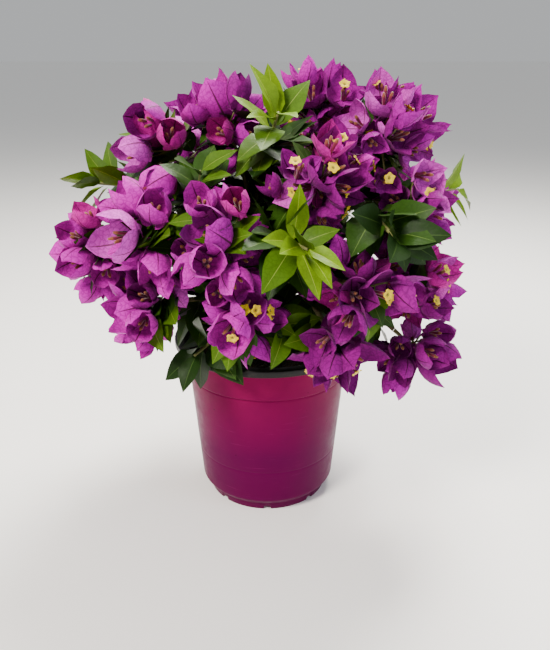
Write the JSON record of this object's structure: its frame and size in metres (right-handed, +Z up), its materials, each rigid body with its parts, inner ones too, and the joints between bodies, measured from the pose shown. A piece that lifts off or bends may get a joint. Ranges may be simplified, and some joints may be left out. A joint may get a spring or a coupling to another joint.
{
  "type": "potted bougainvillea bush",
  "caption": "Flowering shrub with violet papery bracts and green leaves on a short woody trunk, standing in a round plastic nursery pot.",
  "frame": {"origin": "centre of the pot's flat underside, on the surface that it stands on", "axes": "+Z up, front facing -Y, +X to the right as seen from the front"},
  "size_m": [0.3507, 0.3461, 0.3957],
  "materials": {
    "pot": "satin",
    "soil": "matte",
    "bark": "matte",
    "flowers": "matte",
    "leaves": "satin"
  },
  "bodies": {
    "root": {"pot": "pot", "soil": "soil", "trunk": "bark", "bough_upper_mid_left": "bark", "bough_top_right": "bark", "bough_top_shoot": "bark", "bough_upper_left": "bark", "bough_left_shoot": "bark", "bough_left_upper": "bark", "bough_left_outer": "bark", "bough_left_low": "bark", "bough_centre_right": "bark", "bough_centre_left": "bark", "bough_centre_shoot": "bark", "bough_low_centre": "bark", "bough_low_left": "bark", "bough_right_top": "bark", "bough_right_mid": "bark", "bough_right_shoot": "bark", "bough_mid_right": "bark", "bough_low_right": "bark", "bough_right_outer": "bark", "bough_right_low": "bark", "bough_back_upper_left": "bark", "bough_back_upper_right": "bark", "bough_back_left": "bark", "bough_back_right": "bark", "bough_back_centre": "bark", "bough_back_low_left": "bark", "bough_back_low_right": "bark", "bough_inner": "bark", "flowers_upper_mid_left": "flowers", "flowers_top_right": "flowers", "leaves_top_shoot": "leaves", "flowers_upper_left": "flowers", "leaves_left_shoot": "leaves", "flowers_left_upper": "flowers", "flowers_left_outer": "flowers", "flowers_left_low": "flowers", "flowers_centre_right": "flowers", "flowers_centre_left": "flowers", "leaves_centre_shoot": "leaves", "flowers_low_centre": "flowers", "leaves_low_left": "leaves", "flowers_right_top": "flowers", "flowers_right_mid": "flowers", "leaves_right_shoot": "leaves", "flowers_mid_right": "flowers", "flowers_low_right": "flowers", "flowers_right_outer": "flowers", "flowers_right_low": "flowers", "flowers_back_upper_left": "flowers", "flowers_back_upper_right": "flowers", "flowers_back_left": "flowers", "flowers_back_right": "flowers", "flowers_back_centre": "flowers", "leaves_back_low_left": "leaves", "flowers_back_low_right": "flowers", "leaves_inner": "leaves"}
  },
  "joints": []
}
